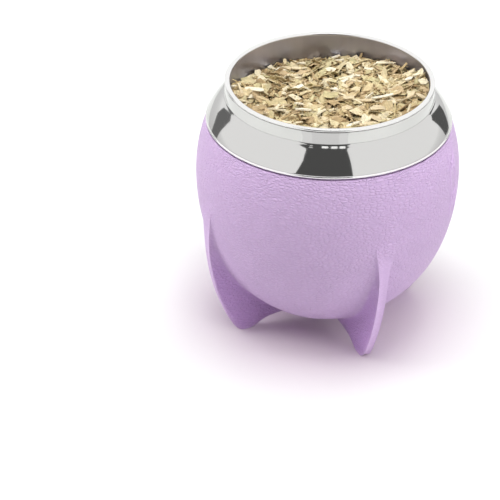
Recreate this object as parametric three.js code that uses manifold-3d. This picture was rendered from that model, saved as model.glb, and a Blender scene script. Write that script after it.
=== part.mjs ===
// A filled mate cup: a round moulded body on four fin feet, a steel collar, a steel vessel
// with a rolled lip, and the heap of dry yerba mate leaf that fills it.
// Millimetres, +Z up. The origin is on the floor, under the cup's axis.
import * as THREE from 'three';
import { mergeVertices } from 'three/addons/utils/BufferGeometryUtils.js';
import Module from 'manifold-3d';

const wasm = await Module();
wasm.setup();

// Body: a ball flattened a little differently above and below its widest line
const BODY_RADIUS = 49.85;
const WIDEST_Z = 64.05;
const UPPER_HALF_HEIGHT = 55.35;
const LOWER_HALF_HEIGHT = 59.6;
const UPPER_POWER = 2;
const LOWER_POWER = 2.12;
const UNDERSIDE_Z = 5.6;
const LEDGE_Z = 85.1;
const LEDGE_WIDTH = 1.4;
const NECK_TOP_Z = 92;
const LOWER_BODY_RINGS = 12;
const LOWER_RING_CROWDING = 0.8;
const UPPER_BODY_RINGS = 3;

// Feet: four fins, each a thin plate that follows a long arc down to the floor
const FOOT_COUNT = 4;
const FIRST_FOOT_ANGLE = 45;
const FIN_ARC_RADIUS = 93;
const FIN_ARC_CENTRE_R = -43;
const FIN_ARC_CENTRE_Z = 47;
const FIN_TOP_Z = 61;
const FIN_PAD_INNER_R = 31;
const FIN_PAD_OUTER_R = 35.4;
const FIN_TOE_RADIUS_START_Z = 1.6;
const FIN_HEEL_RISE = 4.7;
const FIN_HEEL_LENGTH = 4;
const FIN_INNER_R = 9;
const FIN_START_R = 7.5;
const FIN_START_Z = 5.9;
const FIN_ROOT_DEPTH = 2.5;
const FIN_TIP_WIDTH = 3.1;
const FIN_MID_WIDTH = 3.8;
const FIN_TOP_WIDTH = 9;
const FIN_FLARE_START_Z = 38;
const FIN_WEB_HEIGHT = 4;
const FIN_WEB_SPREAD = 1.6;
const FIN_WEB_SHARE = 0.7;
const FIN_LEAST_HEIGHT = 0.5;
const FIN_HEEL_STEPS = 5;
const FIN_ARC_STEPS = 9;

// Steel vessel: straight wall above, a round bowl below, and a rolled lip
const VESSEL_INNER_R = 37.2;
const VESSEL_WALL = 0.8;
const BOWL_TOP_Z = 50;
const BOWL_DEPTH = 32;
const LIP_ROLL_RADIUS = 0.95;
const LIP_CENTRE_Z = 100.9;
const BOWL_STEPS = 6;
const LIP_STEPS = 6;

// Steel collar: a narrow neck band over a convex shoulder
const COLLAR_SHEET = 1;
const NECK_OUTER_R = 39.15;
const NECK_BAND_TOP_Z = 99.65;
const NECK_BAND_BOTTOM_Z = 96.2;
const SHOULDER_BOTTOM_R = 46;
const SHOULDER_BOTTOM_Z = 85.4;
const SHOULDER_ARC_RADIUS = 30;
const BEAD_HEIGHT = 0.7;
const BEAD_STANDS_OUT = 0.2;
const SHOULDER_STEPS = 4;

// Leaf heap: its surface falls towards one side and is piled against the wall in two places.
// Away from the wall no flake stands above the open top height.
const HEAP_MIDDLE_Z = 95.3;
const HEAP_LOW_SIDE_ANGLE = 142;
const HEAP_FALL = 0.13;
const HEAP_RISE = 0.05;
const HEAP_OPEN_R = 32;
const HEAP_OPEN_TOP_Z = 98.4;
const HEAP_PILES = [
  { angle: 31, reach: 36.5, height: 3.4, width: 8 },
  { angle: 194, reach: 37, height: 4.2, width: 7.5 },
];
const HEAP_RINGS = 6;
const HEAP_RING_CROWDING = 0.8;
const LUMP_HEIGHT = 0.5;
const LUMP_SPACING = { x: 8, y: 10 };
const LUMP_PHASE = { x: 1, y: 2 };
const FLAKE_COUNT = 100;
const FLAKE_SEED = 20;
const FLAKE_LENGTH = [4, 9];
const FLAKE_WIDTH = [1.8, 3.6];
const FLAKE_THICKNESS = [0.6, 1.0];
const FLAKE_TAPER = [0.4, 0.9];
const FLAKE_TILT = 16;
const FLAKE_LIE_ANGLE = 33;
const FLAKE_LIE_SPREAD = 75;
const FLAKE_PROUD = 0.25;

// Touching pieces keep this much air between them
const GAP = 0.35;
const ROUND_SEGMENTS = 48;
const HEAP_SEGMENTS = 40;

const radians = THREE.MathUtils.degToRad;

// A repeatable random number from 0 to 1
function makeRandom(seed) {
  let state = seed;
  return () => {
    state = (state + 0x6d2b79f5) | 0;
    let mixed = Math.imul(state ^ (state >>> 15), 1 | state);
    mixed = (mixed + Math.imul(mixed ^ (mixed >>> 7), 61 | mixed)) ^ mixed;
    return ((mixed ^ (mixed >>> 14)) >>> 0) / 4294967296;
  };
}

// Keeps only positions, joins equal vertices and drops triangles that have lost an edge
function weld(geometry) {
  const plain = new THREE.BufferGeometry();
  plain.setAttribute('position', geometry.getAttribute('position'));
  if (geometry.index) plain.setIndex(geometry.index);
  const merged = mergeVertices(plain, 1e-4);
  const corners = merged.index.array;
  const kept = [];
  for (let i = 0; i < corners.length; i += 3) {
    const [a, b, c] = corners.slice(i, i + 3);
    if (a !== b && b !== c && c !== a) kept.push(a, b, c);
  }
  merged.setIndex(kept);
  return merged;
}

function toSolid(geometry) {
  const welded = weld(geometry);
  return new wasm.Manifold(new wasm.Mesh({
    numProp: 3,
    vertProperties: new Float32Array(welded.getAttribute('position').array),
    triVerts: new Uint32Array(welded.index.array),
  }));
}

function toGeometry(solid) {
  const mesh = solid.getMesh();
  const geometry = new THREE.BufferGeometry();
  geometry.setAttribute('position', new THREE.BufferAttribute(mesh.vertProperties.slice(), 3));
  geometry.setIndex(new THREE.BufferAttribute(mesh.triVerts.slice(), 1));
  geometry.computeVertexNormals();
  return geometry;
}

// Turns a profile of (radius, height) points round the Z axis
function revolve(profile, segments) {
  return new THREE.LatheGeometry(profile, segments).rotateX(Math.PI / 2);
}

// Points of an arc in the (radius, height) plane, from one angle to another
function arcPoints(centre, radiusR, radiusZ, fromAngle, toAngle, steps) {
  const points = [];
  for (let i = 0; i <= steps; i += 1) {
    const angle = fromAngle + (toAngle - fromAngle) * (i / steps);
    const r = centre.x + radiusR * Math.cos(angle);
    points.push(new THREE.Vector2(Math.max(r, 0), centre.y + radiusZ * Math.sin(angle)));
  }
  return points;
}

// The body's outer radius at a height
function bodyRadius(z) {
  const lower = z < WIDEST_Z;
  const halfHeight = lower ? LOWER_HALF_HEIGHT : UPPER_HALF_HEIGHT;
  const power = lower ? LOWER_POWER : UPPER_POWER;
  const share = Math.abs(z - WIDEST_Z) / halfHeight;
  return BODY_RADIUS * Math.max(1 - share ** power, 0) ** (1 / power);
}

// Distance from the middle of the widest line to the body's lower skin, towards a point
function lowerSkinDistance(point) {
  const away = point.clone().sub(new THREE.Vector2(0, WIDEST_Z)).normalize();
  const across = (Math.abs(away.x) / BODY_RADIUS) ** LOWER_POWER;
  const down = (Math.abs(away.y) / LOWER_HALF_HEIGHT) ** LOWER_POWER;
  return (across + down) ** (-1 / LOWER_POWER);
}

// The shoulder's arc, bulging outwards between the neck band and the lower edge
function shoulderArc() {
  const top = new THREE.Vector2(NECK_OUTER_R, NECK_BAND_BOTTOM_Z);
  const bottom = new THREE.Vector2(SHOULDER_BOTTOM_R, SHOULDER_BOTTOM_Z + BEAD_HEIGHT);
  const chord = bottom.clone().sub(top);
  const inward = new THREE.Vector2(chord.y, -chord.x).normalize();
  const rise = Math.sqrt(SHOULDER_ARC_RADIUS ** 2 - (chord.length() / 2) ** 2);
  const centre = top.clone().add(bottom).multiplyScalar(0.5).addScaledVector(inward, rise);
  return {
    centre,
    topAngle: top.clone().sub(centre).angle(),
    bottomAngle: bottom.clone().sub(centre).angle(),
  };
}

// The shoulder's radius at a height, set back by a distance from its outer face
function shoulderRadius(z, setBack) {
  const { centre } = shoulderArc();
  const radius = SHOULDER_ARC_RADIUS - setBack;
  return centre.x + Math.sqrt(radius ** 2 - (z - centre.y) ** 2);
}

// The body without feet or pocket, from the underside's middle out and up to the neck's top
function makeBodyBall() {
  const profile = [new THREE.Vector2(0, UNDERSIDE_Z)];
  for (let i = 0; i <= LOWER_BODY_RINGS; i += 1) {
    const turn = (i / LOWER_BODY_RINGS) ** LOWER_RING_CROWDING;
    const z = WIDEST_Z - (WIDEST_Z - UNDERSIDE_Z) * Math.cos(turn * Math.PI / 2);
    profile.push(new THREE.Vector2(bodyRadius(z), z));
  }
  for (let i = 1; i <= UPPER_BODY_RINGS; i += 1) {
    const z = WIDEST_Z + (LEDGE_Z - WIDEST_Z) * (i / UPPER_BODY_RINGS);
    profile.push(new THREE.Vector2(bodyRadius(z), z));
  }
  const setBack = COLLAR_SHEET + GAP;
  profile.push(new THREE.Vector2(bodyRadius(LEDGE_Z) - LEDGE_WIDTH, LEDGE_Z));
  profile.push(new THREE.Vector2(shoulderRadius(NECK_TOP_Z, setBack), NECK_TOP_Z));
  profile.push(new THREE.Vector2(0, NECK_TOP_Z));
  return toSolid(revolve(profile, ROUND_SEGMENTS));
}

// The fin's free edge in its own (radius, height) plane, from under the body to its top
function finEdge() {
  const edge = [new THREE.Vector2(FIN_START_R, FIN_START_Z)];
  for (let i = 0; i <= FIN_HEEL_STEPS; i += 1) {
    const r = FIN_INNER_R + (FIN_PAD_INNER_R - FIN_INNER_R) * Math.sqrt(i / FIN_HEEL_STEPS);
    const z = FIN_HEEL_RISE * (1 - Math.exp((r - FIN_PAD_INNER_R) / FIN_HEEL_LENGTH));
    edge.push(new THREE.Vector2(r, z));
  }
  edge.push(new THREE.Vector2(FIN_PAD_OUTER_R, 0));
  const startAngle = Math.asin((FIN_TOE_RADIUS_START_Z - FIN_ARC_CENTRE_Z) / FIN_ARC_RADIUS);
  const endAngle = Math.asin((FIN_TOP_Z - FIN_ARC_CENTRE_Z) / FIN_ARC_RADIUS);
  const centre = new THREE.Vector2(FIN_ARC_CENTRE_R, FIN_ARC_CENTRE_Z);
  const outer = arcPoints(centre, FIN_ARC_RADIUS, FIN_ARC_RADIUS, startAngle, endAngle,
    FIN_ARC_STEPS);
  return edge.concat(outer);
}

// Width of the fin's free edge: narrow at the tip and flared where it runs into the body
function finEdgeWidth(z) {
  const climb = THREE.MathUtils.clamp(z / FIN_FLARE_START_Z, 0, 1);
  const flare = THREE.MathUtils.smoothstep(z, FIN_FLARE_START_Z, FIN_TOP_Z);
  const plate = THREE.MathUtils.lerp(FIN_TIP_WIDTH, FIN_MID_WIDTH, climb);
  return THREE.MathUtils.lerp(plate, FIN_TOP_WIDTH, flare);
}

// Distances at which a fin's grid is laid: its root, the body's skin, the web and the free edge
function finLevels(skin, reach) {
  const start = Math.min(skin, reach - FIN_LEAST_HEIGHT);
  const web = Math.min(FIN_WEB_HEIGHT, (reach - start) * FIN_WEB_SHARE);
  return [start - FIN_ROOT_DEPTH, start, start + web / 3, start + web, reach];
}

// One fin in the XZ plane: a box whose grid is laid between the free edge and the body
function makeFin() {
  const edge = finEdge();
  const along = edge.length - 1;
  const deep = finLevels(0, 0).length - 1;
  const fin = new THREE.BoxGeometry(1, 1, 1, along, 1, deep);
  const place = fin.getAttribute('position');
  const middle = new THREE.Vector2(0, WIDEST_Z);
  for (let i = 0; i < place.count; i += 1) {
    const free = edge[Math.round((place.getX(i) + 0.5) * along)];
    const side = Math.sign(place.getY(i));
    const skin = lowerSkinDistance(free);
    const levels = finLevels(skin, free.distanceTo(middle));
    const distance = levels[Math.round((0.5 - place.getZ(i)) * deep)];
    const web = THREE.MathUtils.clamp(1 - (distance - skin) / FIN_WEB_HEIGHT, 0, 1);
    const spot = free.clone().sub(middle).setLength(distance).add(middle);
    const halfWidth = finEdgeWidth(free.y) / 2 + FIN_WEB_SPREAD * web * web;
    place.setXYZ(i, spot.x, side * halfWidth, spot.y);
  }
  return fin;
}

// The vessel's wall from the axis up to the lip, in at a radius and down at a bowl depth
function vesselWall(radius, bowlDepth) {
  const centre = new THREE.Vector2(0, BOWL_TOP_Z);
  return arcPoints(centre, radius, bowlDepth, -Math.PI / 2, 0, BOWL_STEPS);
}

function makeBody() {
  let body = makeBodyBall();
  for (let i = 0; i < FOOT_COUNT; i += 1) {
    const turn = radians(FIRST_FOOT_ANGLE + i * 360 / FOOT_COUNT);
    body = body.add(toSolid(makeFin().rotateZ(turn)));
  }
  const pocketRadius = VESSEL_INNER_R + VESSEL_WALL + GAP;
  const pocket = vesselWall(pocketRadius, BOWL_DEPTH + VESSEL_WALL + GAP);
  pocket.push(new THREE.Vector2(pocketRadius, NECK_TOP_Z + 1));
  pocket.push(new THREE.Vector2(0, NECK_TOP_Z + 1));
  return toGeometry(body.subtract(toSolid(revolve(pocket, ROUND_SEGMENTS))));
}

function makeVessel() {
  const lipR = VESSEL_INNER_R + LIP_ROLL_RADIUS;
  const lipCentre = new THREE.Vector2(lipR, LIP_CENTRE_Z);
  const inner = vesselWall(VESSEL_INNER_R, BOWL_DEPTH);
  const roll = arcPoints(lipCentre, LIP_ROLL_RADIUS, LIP_ROLL_RADIUS, -Math.PI / 2, Math.PI,
    LIP_STEPS);
  const outer = vesselWall(VESSEL_INNER_R + VESSEL_WALL, BOWL_DEPTH + VESSEL_WALL);
  const profile = outer.concat(roll, inner.reverse());
  return weld(revolve(profile, ROUND_SEGMENTS));
}

function makeCollar() {
  const { centre, topAngle, bottomAngle } = shoulderArc();
  const outerArc = arcPoints(centre, SHOULDER_ARC_RADIUS, SHOULDER_ARC_RADIUS,
    bottomAngle, topAngle, SHOULDER_STEPS);
  const innerRadius = SHOULDER_ARC_RADIUS - COLLAR_SHEET;
  const innerArc = arcPoints(centre, innerRadius, innerRadius, topAngle, bottomAngle,
    SHOULDER_STEPS);
  const neckInnerR = VESSEL_INNER_R + VESSEL_WALL + GAP;
  const beadR = SHOULDER_BOTTOM_R + BEAD_STANDS_OUT;
  const profile = [
    new THREE.Vector2(SHOULDER_BOTTOM_R - COLLAR_SHEET, SHOULDER_BOTTOM_Z),
    new THREE.Vector2(SHOULDER_BOTTOM_R, SHOULDER_BOTTOM_Z),
    new THREE.Vector2(beadR, SHOULDER_BOTTOM_Z + BEAD_HEIGHT / 2),
    ...outerArc,
    new THREE.Vector2(NECK_OUTER_R, NECK_BAND_TOP_Z),
    new THREE.Vector2(neckInnerR, NECK_BAND_TOP_Z),
    new THREE.Vector2(neckInnerR, NECK_BAND_BOTTOM_Z),
    ...innerArc.slice(1),
  ];
  profile.push(profile[0].clone());
  return weld(revolve(profile, ROUND_SEGMENTS));
}

// Height of the heap's surface, without its flakes
function heapHeight(x, y) {
  const low = radians(HEAP_LOW_SIDE_ANGLE);
  const towardsLow = x * Math.cos(low) + y * Math.sin(low);
  const slope = towardsLow > 0 ? HEAP_FALL : HEAP_RISE;
  let height = HEAP_MIDDLE_Z - slope * towardsLow;
  for (const pile of HEAP_PILES) {
    const dx = x - pile.reach * Math.cos(radians(pile.angle));
    const dy = y - pile.reach * Math.sin(radians(pile.angle));
    height += pile.height * Math.exp(-(dx * dx + dy * dy) / pile.width ** 2);
  }
  const waveX = Math.sin((2 * Math.PI * x) / LUMP_SPACING.x + LUMP_PHASE.x);
  const waveY = Math.cos((2 * Math.PI * y) / LUMP_SPACING.y + LUMP_PHASE.y);
  return height + LUMP_HEIGHT * waveX * waveY;
}

// The heap's core: the vessel's inside, closed by the uneven surface
function makeHeapCore() {
  const wallR = VESSEL_INNER_R - GAP;
  const profile = vesselWall(wallR, BOWL_DEPTH - GAP);
  const base = profile.length;
  for (let ring = HEAP_RINGS; ring >= 0; ring -= 1) {
    const r = wallR * (ring / HEAP_RINGS) ** HEAP_RING_CROWDING;
    profile.push(new THREE.Vector2(r, HEAP_MIDDLE_Z));
  }
  const core = revolve(profile, HEAP_SEGMENTS);
  const place = core.getAttribute('position');
  for (let i = 0; i < place.count; i += 1) {
    if (i % profile.length >= base) place.setZ(i, heapHeight(place.getX(i), place.getY(i)));
  }
  return toSolid(core);
}

// One flake: a thin slab that narrows to one end
function makeFlake(length, width, thickness, taper) {
  const flake = new THREE.BoxGeometry(length, width, thickness);
  const place = flake.getAttribute('position');
  for (let i = 0; i < place.count; i += 1) {
    if (place.getX(i) > 0) place.setY(i, place.getY(i) * taper);
  }
  return flake;
}

// The flakes that lie on top: the longest first, spread evenly by the golden angle
function makeHeap() {
  const random = makeRandom(FLAKE_SEED);
  const spread = (most) => most * (random() - 0.5) * 2;
  const between = ([low, high]) => low + (high - low) * random();
  const goldenAngle = Math.PI * (3 - Math.sqrt(5));
  let heap = makeHeapCore();
  for (let i = 0; i < FLAKE_COUNT; i += 1) {
    const length = between(FLAKE_LENGTH);
    const width = between(FLAKE_WIDTH);
    const thickness = between(FLAKE_THICKNESS);
    const reach = Math.sqrt((i + 0.5) / FLAKE_COUNT) * (VESSEL_INNER_R - GAP * 2 - length / 2);
    const x = reach * Math.cos(i * goldenAngle);
    const y = reach * Math.sin(i * goldenAngle);
    const lie = radians(FLAKE_LIE_ANGLE + spread(FLAKE_LIE_SPREAD));
    const pitch = radians(spread(FLAKE_TILT));
    const bank = radians(spread(FLAKE_TILT));
    const flake = makeFlake(length, width, thickness, between(FLAKE_TAPER));
    flake.rotateX(bank).rotateY(pitch).rotateZ(lie);
    flake.translate(x, y, heapHeight(x, y) + FLAKE_PROUD);
    flake.computeBoundingBox();
    const standsUp = flake.boundingBox.max.z > HEAP_OPEN_TOP_Z;
    if (standsUp && reach < HEAP_OPEN_R) continue;
    heap = heap.add(toSolid(flake));
  }
  // A flake that misses the uneven core is dropped
  const pieces = heap.decompose();
  pieces.sort((a, b) => b.volume() - a.volume());
  return toGeometry(pieces[0]);
}

function addPiece(group, name, geometry, color, roughness, metalness) {
  const material = new THREE.MeshStandardMaterial({ color, roughness, metalness });
  const mesh = new THREE.Mesh(geometry, material);
  mesh.name = name;
  group.add(mesh);
}

const cup = new THREE.Group();
cup.name = 'mate_cup';
addPiece(cup, 'body', makeBody(), 0xc4a5d2, 0.55, 0);
addPiece(cup, 'steel_collar', makeCollar(), 0xd2d3d4, 0.08, 1);
addPiece(cup, 'steel_vessel', makeVessel(), 0xb9b6b2, 0.3, 1);
addPiece(cup, 'yerba', makeHeap(), 0xd2ba84, 0.9, 0);

export default cup;
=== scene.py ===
"""A round mate cup on fin feet, with its steel collar and vessel, full of dry cut leaf.

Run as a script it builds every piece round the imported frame, which is in metres with +Z up.
Sizes below are in millimetres, as a maker would write them, and MM turns them into metres.
"""
import math

import bpy
import numpy as np
from mathutils import Euler, Matrix, Vector


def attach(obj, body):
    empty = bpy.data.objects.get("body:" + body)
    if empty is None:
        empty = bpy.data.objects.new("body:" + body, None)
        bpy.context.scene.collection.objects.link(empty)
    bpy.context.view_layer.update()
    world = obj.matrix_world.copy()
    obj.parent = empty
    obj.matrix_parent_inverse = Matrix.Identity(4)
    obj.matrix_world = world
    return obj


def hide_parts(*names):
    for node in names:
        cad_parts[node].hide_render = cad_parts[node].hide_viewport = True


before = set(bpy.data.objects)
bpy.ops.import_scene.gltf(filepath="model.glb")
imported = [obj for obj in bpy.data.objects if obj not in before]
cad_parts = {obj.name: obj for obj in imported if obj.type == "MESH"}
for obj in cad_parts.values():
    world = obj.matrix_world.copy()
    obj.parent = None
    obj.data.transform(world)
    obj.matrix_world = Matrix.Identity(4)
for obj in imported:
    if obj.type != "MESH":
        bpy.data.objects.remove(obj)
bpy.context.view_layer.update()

bl_info = {
    "name": "Filled mate cup",
    "version": (1, 0, 0),
    "blender": (4, 5, 0),
    "location": "View3D > Sidebar > Mate cup",
    "description": "Builds a mate cup on fin feet, filled with dry leaf, round a fixed frame",
    "category": "Object",
}

MM = 0.001
BODY = "root"

# The fins' free edge: a heel that rises inwards, a flat pad, and a long arc up to the body
FIN_ARC_RADIUS = 93.0
FIN_ARC_CENTRE = (-43.0, 47.0)
FIN_TOP_Z = 61.0
FIN_PAD = (31.0, 35.4)
FIN_TOE_Z = 1.6
FIN_HEEL_RISE = 4.7
FIN_HEEL_LENGTH = 4.0
FIN_INNER_R = 9.0
FIN_WEB_HEIGHT = 4.5
FIN_FLARE_FROM_Z = 40.0
# The middle of a fin's free edge is hollowed by this much
FIN_EDGE_HOLLOW = 0.5
# Where the edge sinks into the body its two sides run on as low ridges of this height
FIN_RIDGE = 0.28
# How sharp a fin's long edges are where it stands well out of the body
FIN_EDGE_CREASE = 0.85
# Heights over the skin between which a fin's edge turns hollow, bare of grain and sharp, and
# its sides get painted shade: a deeper colour
HOLLOW_HEIGHTS = (0.0, 4.0)
BARE_HEIGHTS = (0.2, 1.8)
SHARP_HEIGHTS = (0.16, 1.76)
FIN_SHADE_HEIGHTS = (0.0, 7.0)
# The ridges are gone where a fin stands this high over the skin, and fade in this far down
RIDGE_END_HEIGHT = 1.5
RIDGE_TOP_FADE = 5.0
# Nearness at which a point counts as on the skin, or on a fin's free edge
NEAR_SKIN = 0.05
NEAR_EDGE = 0.01
FIN_LAYERS = 5
FEET = 4

# The body's columns, counted from a fin's middle: distance across, and the share of the way
# to the middle between two fins that they take at most
COLUMN_OFFSETS = (0.0, 3.8, 6.2, 9.8, 15.0, 22.0, 30.0, 60.0)
COLUMN_SHARES = (0.0, 0.30, 0.45, 0.60, 0.72, 0.82, 0.91, 1.0)
COLUMNS_A_QUARTER = 14
# The first column on each side stands this far out from the fin's side
FIN_ROOT_FLARE = 1.9
# Between these heights, above the fins, the columns drift back to even steps
COLUMNS_DRIFT_Z = (FIN_TOP_Z + 2.0, FIN_TOP_Z + 16.0)
# The body's rim stands a little below the ledge, with a groove behind it: a dark line shows
# between the rim and the collar's bead
RIM_DROP = 0.2
GROOVE_DEPTH = 1.0
# Polar angles of the body's lower rings, seen from the middle of its widest line
RING_ANGLES = (4.0, 7.5, 10.2, 14.0, 18.0, 21.5, 24.0, 25.8, 27.4, 28.9, 29.9, 32.0, 35.0,
               39.0, 43.5, 48.5, 54.0, 60.0, 66.0, 72.0, 77.5, 82.5, 87.0, 90.0)
UPPER_RINGS_Z = (68.0, 72.5, 77.0, 81.0, 83.4, 84.3)
# The shelf under the collar, hidden when the cup is whole, as (radius, height)
SHELF = ((43.1, 89.0), (41.5, 91.7), (41.1, 92.0))
SHELF_TOP_Z = 92.0
# The vessel's round bowl: the height where it starts, and its depth inside
BOWL_TOP_Z = 50.0
BOWL_DEPTH = 32.0
# Air between the vessel and what stands round it
VESSEL_GAP = 0.35
# Steps in which the steel is spun round
STEEL_STEPS = 192


class CupSizes(bpy.types.PropertyGroup):
    """Sizes of the moulded body and its steel parts, in millimetres."""

    body_radius: bpy.props.FloatProperty(
        name="Body radius", description="Radius at the body's widest line", default=50.0)
    widest_z: bpy.props.FloatProperty(
        name="Widest line", description="Height of the body's widest line", default=64.05)
    upper_half: bpy.props.FloatProperty(
        name="Upper half height", description="Half height of the upper ball", default=55.35)
    lower_half: bpy.props.FloatProperty(
        name="Lower half height", description="Half height of the lower ball", default=59.6)
    lower_power: bpy.props.FloatProperty(
        name="Lower power", description="How square the lower ball is; 2 is round", default=2.12)
    underside_z: bpy.props.FloatProperty(
        name="Underside", description="Height of the flat middle underneath", default=5.6)
    ledge_z: bpy.props.FloatProperty(
        name="Ledge", description="Height of the ledge that carries the collar", default=85.1)
    fin_tip_width: bpy.props.FloatProperty(
        name="Fin tip width", description="Width of a fin's edge at the floor", default=2.8)
    fin_mid_width: bpy.props.FloatProperty(
        name="Fin width", description="Width of a fin's edge half way up", default=3.5)
    fin_top_width: bpy.props.FloatProperty(
        name="Fin top width", description="Width where the edge runs into the body", default=8.8)
    vessel_radius: bpy.props.FloatProperty(
        name="Vessel radius", description="Inner radius of the steel vessel", default=37.2)
    vessel_wall: bpy.props.FloatProperty(
        name="Vessel wall", description="Thickness of the vessel's steel", default=0.8)
    neck_radius: bpy.props.FloatProperty(
        name="Neck radius", description="Outer radius of the collar's neck band", default=39.15)
    shoulder_radius: bpy.props.FloatProperty(
        name="Shoulder radius", description="Radius at the shoulder's lower edge", default=46.0)


class LeafLook(bpy.types.PropertyGroup):
    """How many loose pieces of leaf there are of each kind."""

    flakes: bpy.props.IntProperty(
        name="Flakes", description="Number of broad torn flakes", default=520)
    chips: bpy.props.IntProperty(
        name="Chips", description="Number of small leaf chips", default=1700)
    shreds: bpy.props.IntProperty(
        name="Shreds", description="Number of thin curled shreds", default=260)
    sticks: bpy.props.IntProperty(
        name="Sticks", description="Number of pale stem sticks", default=90)
    crumbs: bpy.props.IntProperty(
        name="Crumbs", description="Number of small crumbs", default=900)
    seed: bpy.props.IntProperty(name="Seed", description="Seed of every random draw", default=7)


class StudioLook(bpy.types.PropertyGroup):
    """The camera, and the lights' strength."""

    camera_place: bpy.props.FloatVectorProperty(
        name="Camera place", description="Where the camera stands", subtype="TRANSLATION",
        unit="LENGTH", default=(0.2622, -0.7734, 0.5352))
    camera_turn: bpy.props.FloatProperty(
        name="Camera turn", description="Heading to the left of +Y", subtype="ANGLE",
        default=math.radians(20.77))
    camera_pitch: bpy.props.FloatProperty(
        name="Camera pitch", description="How far the camera looks down", subtype="ANGLE",
        default=math.radians(31.93))
    camera_roll: bpy.props.FloatProperty(
        name="Camera roll", description="Turn about the line of sight", subtype="ANGLE",
        default=math.radians(0.53))
    lens: bpy.props.FloatProperty(
        name="Lens", description="Focal length on a 36 mm sensor, in millimetres", default=178.7)
    surround: bpy.props.FloatProperty(
        name="Surround", description="Brightness of the white surround", default=0.08)


# Selecting and tracing

def deselect_all():
    if bpy.context.object is not None and bpy.context.object.mode != "OBJECT":
        bpy.ops.object.mode_set(mode="OBJECT")
    bpy.ops.object.select_all(action="DESELECT")


def make_active(piece):
    deselect_all()
    piece.select_set(True)
    bpy.context.view_layer.objects.active = piece


def add_shape(name, add, **settings):
    """Adds a primitive with one of Blender's own operators and names it."""
    deselect_all()
    add(**settings)
    piece = bpy.context.object
    piece.name = name
    return piece


def add_object(name, data):
    """Puts a mesh, curve, light or camera into the scene."""
    piece = bpy.data.objects.new(name, data)
    bpy.context.scene.collection.objects.link(piece)
    return piece


def trace_profile(name, profile):
    """Extrudes one vertex along a profile of (radius, height) points."""
    piece = add_shape(name, bpy.ops.mesh.primitive_plane_add, size=MM)
    bpy.ops.object.mode_set(mode="EDIT")
    bpy.ops.mesh.select_mode(type="VERT")
    bpy.ops.mesh.select_all(action="SELECT")
    bpy.ops.mesh.merge(type="CENTER")
    bpy.ops.transform.translate(value=(profile[0][0] * MM, 0, profile[0][1] * MM))
    for start, end in zip(profile, profile[1:]):
        step = ((end[0] - start[0]) * MM, 0, (end[1] - start[1]) * MM)
        bpy.ops.mesh.extrude_vertices_move(TRANSFORM_OT_translate={"value": step})
    bpy.ops.object.mode_set(mode="OBJECT")
    return piece


def spin_round(piece, steps):
    """Spins the traced profile once round the cup's axis and closes the seam and the poles."""
    make_active(piece)
    bpy.ops.object.mode_set(mode="EDIT")
    bpy.ops.mesh.select_all(action="SELECT")
    bpy.ops.mesh.spin(steps=steps, angle=2 * math.pi, center=(0, 0, 0), axis=(0, 0, 1))
    bpy.ops.mesh.select_all(action="SELECT")
    bpy.ops.mesh.remove_doubles(threshold=0.002 * MM)
    bpy.ops.mesh.normals_make_consistent(inside=False)
    bpy.ops.object.mode_set(mode="OBJECT")


def smooth(piece, degrees):
    make_active(piece)
    bpy.ops.object.shade_smooth_by_angle(angle=math.radians(degrees))


def subdivide_smoothly(piece, levels):
    make_active(piece)
    modifier = piece.modifiers.new("Smooth surface", "SUBSURF")
    modifier.levels = levels
    modifier.render_levels = levels
    bpy.ops.object.modifier_apply(modifier=modifier.name)


def points_of(piece):
    found = np.empty(len(piece.data.vertices) * 3)
    piece.data.vertices.foreach_get("co", found)
    return found.reshape(-1, 3) / MM


def set_points(piece, points):
    piece.data.vertices.foreach_set("co", (np.asarray(points) * MM).ravel())
    piece.data.update()


def read_layer(piece, name):
    values = np.empty(len(piece.data.vertices), np.float32)
    piece.data.attributes[name].data.foreach_get("value", values)
    return values.astype(float)


def write_layer(piece, name, values):
    """Keeps a number for each vertex under a name."""
    layer = piece.data.attributes.new(name, "FLOAT", "POINT")
    layer.data.foreach_set("value", values.astype(np.float32))


def share_of(value, limits):
    """How far a value has come between two limits, from 0 to 1."""
    return np.interp(value, limits, (0.0, 1.0))


def arc(centre, radii, start, end, steps):
    """Points of an arc in the (radius, height) plane; angles in degrees."""
    turns = np.radians(np.linspace(start, end, steps + 1))
    return [(max(centre[0] + radii[0] * math.cos(t), 0.0), centre[1] + radii[1] * math.sin(t))
            for t in turns]


def settle(piece, material, slot, *nodes):
    """Gives a finished piece its finish, its place on the cup and the nodes it stands for."""
    piece.data.materials.clear()
    piece.data.materials.append(material)
    if nodes:
        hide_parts(*nodes)
    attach(piece, BODY)


# Shape of the body

def skin_distance(sizes, angle):
    """Distance from the widest line's middle to the lower skin, at an angle from straight down."""
    across = (np.abs(np.sin(angle)) / sizes.body_radius) ** sizes.lower_power
    down = (np.abs(np.cos(angle)) / sizes.lower_half) ** sizes.lower_power
    ball = (across + down) ** (-1.0 / sizes.lower_power)
    with np.errstate(divide="ignore"):
        flat = (sizes.widest_z - sizes.underside_z) / np.maximum(np.cos(angle), 1e-6)
    return np.minimum(ball, flat)


def upper_radius(sizes, z):
    return sizes.body_radius * math.sqrt(1.0 - ((z - sizes.widest_z) / sizes.upper_half) ** 2)


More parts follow.
